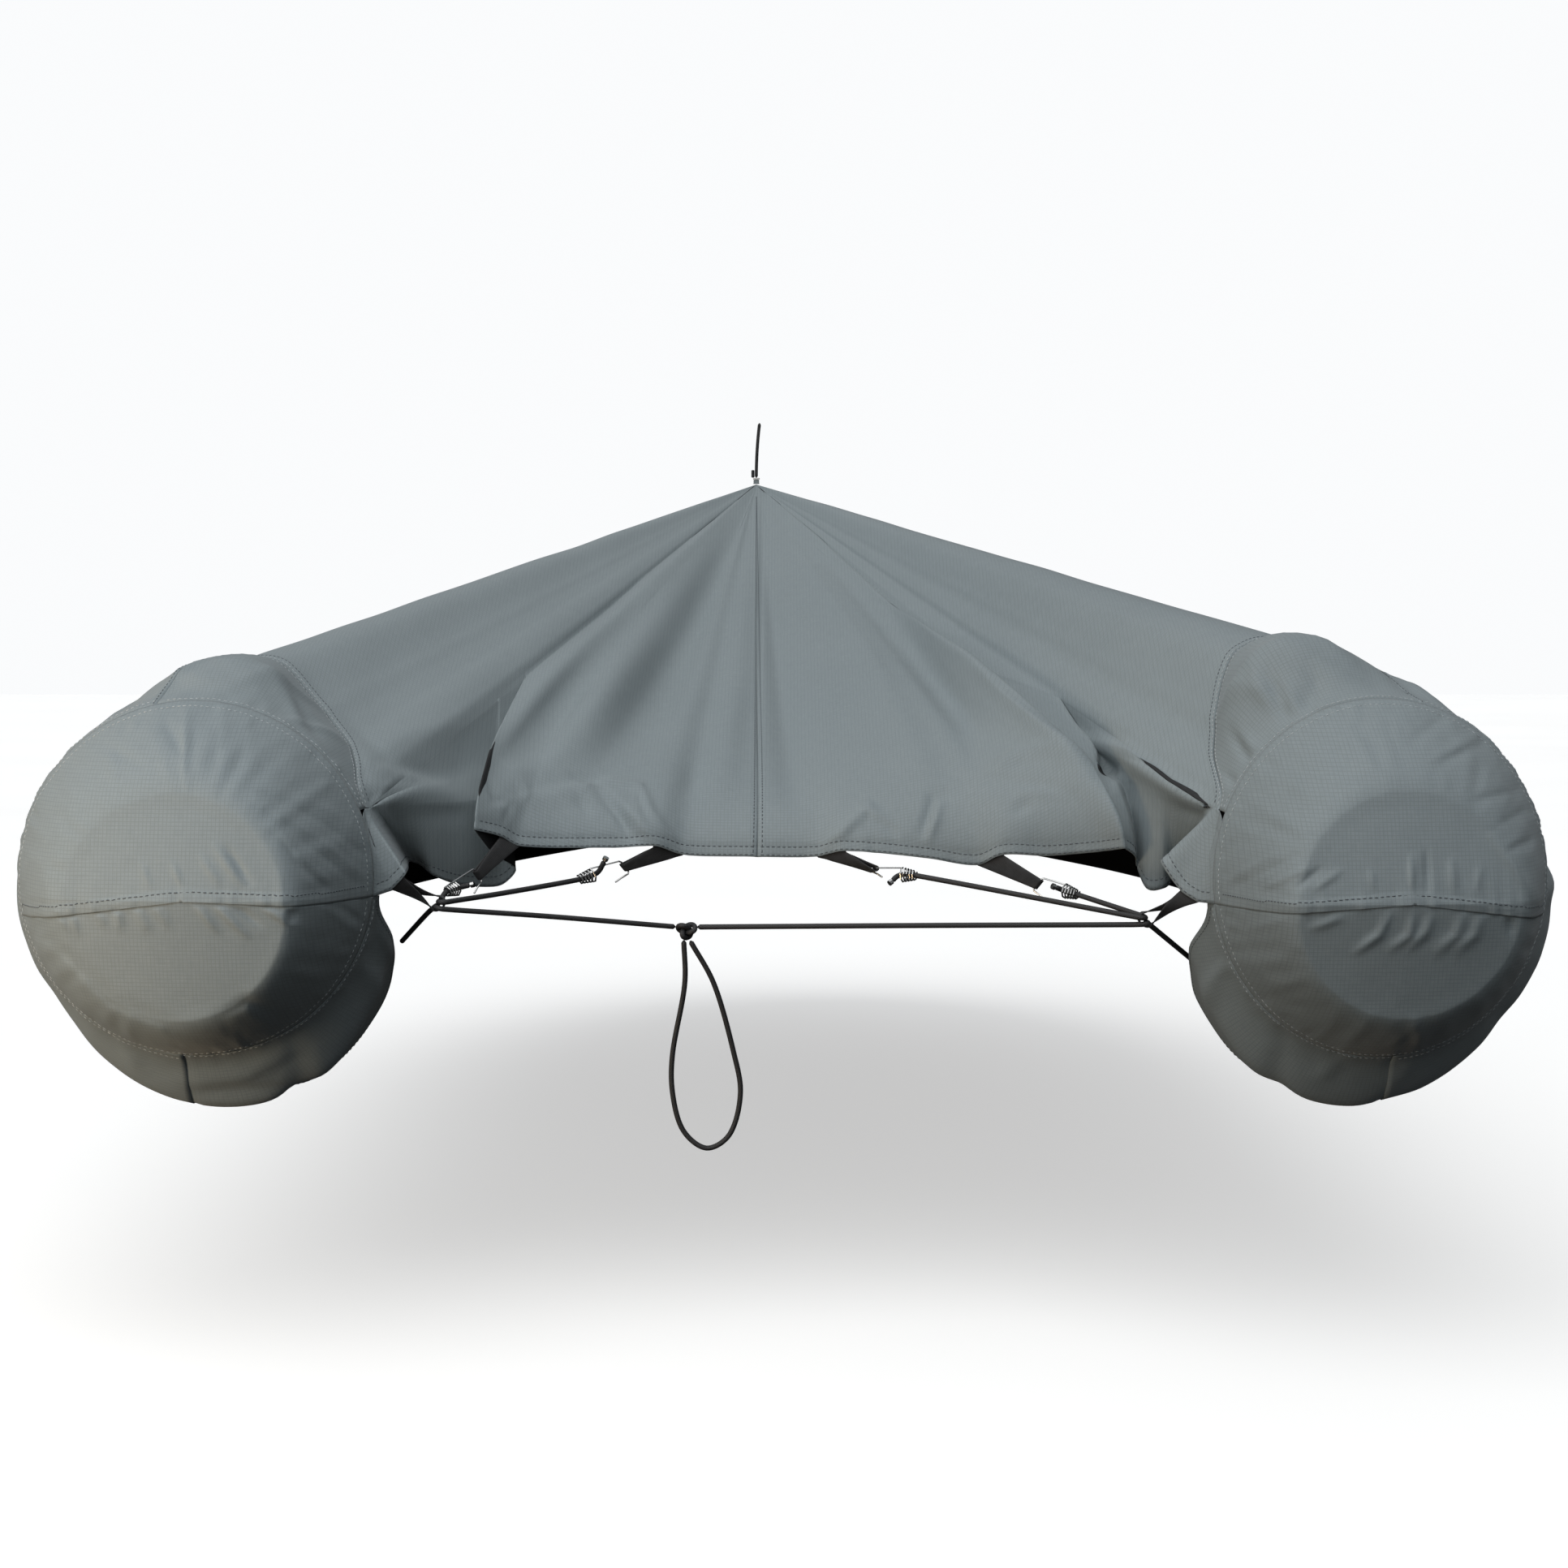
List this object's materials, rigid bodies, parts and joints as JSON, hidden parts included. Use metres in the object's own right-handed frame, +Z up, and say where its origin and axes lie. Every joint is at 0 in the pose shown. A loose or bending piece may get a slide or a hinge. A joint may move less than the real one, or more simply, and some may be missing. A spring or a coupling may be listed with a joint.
{
  "type": "fitted cover for a small inflatable boat",
  "caption": "Blue-grey cloth cover shaped to an inflatable boat, peaked in the middle, with closed tube ends, webbing loops, wire hooks and a drawn cord at the stern.",
  "frame": {"origin": "the point just under the cover's top, on the boat's middle plane, that holds it up", "axes": "+Y from the stern to the bow, +Z up, +X to the boat's right side"},
  "size_m": [1.6606, 3.1164, 0.8793],
  "materials": {
    "cover_cloth": "fine blue-grey woven cloth with a soft sheen",
    "black_webbing": "black ribbed webbing",
    "black_cord": "black braided cord",
    "bright_wire": "bright bent wire",
    "pale_ring": "pale ring"
  },
  "bodies": {
    "root": {"top_left": "cover_cloth", "top_right": "cover_cloth", "gore_left": "cover_cloth", "gore_right": "cover_cloth", "side_left": "cover_cloth", "side_right": "cover_cloth", "under_left": "cover_cloth", "under_right": "cover_cloth", "end_upper_left": "cover_cloth", "end_lower_left": "cover_cloth", "end_upper_right": "cover_cloth", "end_lower_right": "cover_cloth", "peak_tab": "cover_cloth", "loop_1": "black_webbing", "loop_2": "black_webbing", "loop_3": "black_webbing", "loop_4": "black_webbing", "loop_5": "black_webbing", "loop_6": "black_webbing", "hook_2": "bright_wire", "hook_3": "bright_wire", "hook_4": "bright_wire", "hook_5": "bright_wire", "clip_2": "bright_wire", "clip_3": "bright_wire", "clip_4": "bright_wire", "clip_5": "bright_wire", "elastic_left": "black_cord", "elastic_right": "black_cord", "drawcord_left": "black_cord", "drawcord_right": "black_cord", "drawcord_loop": "black_cord", "drawcord_knot": "black_cord", "peak_cord": "black_cord", "peak_cord_end": "black_cord", "peak_ring": "pale_ring"}
  },
  "joints": []
}
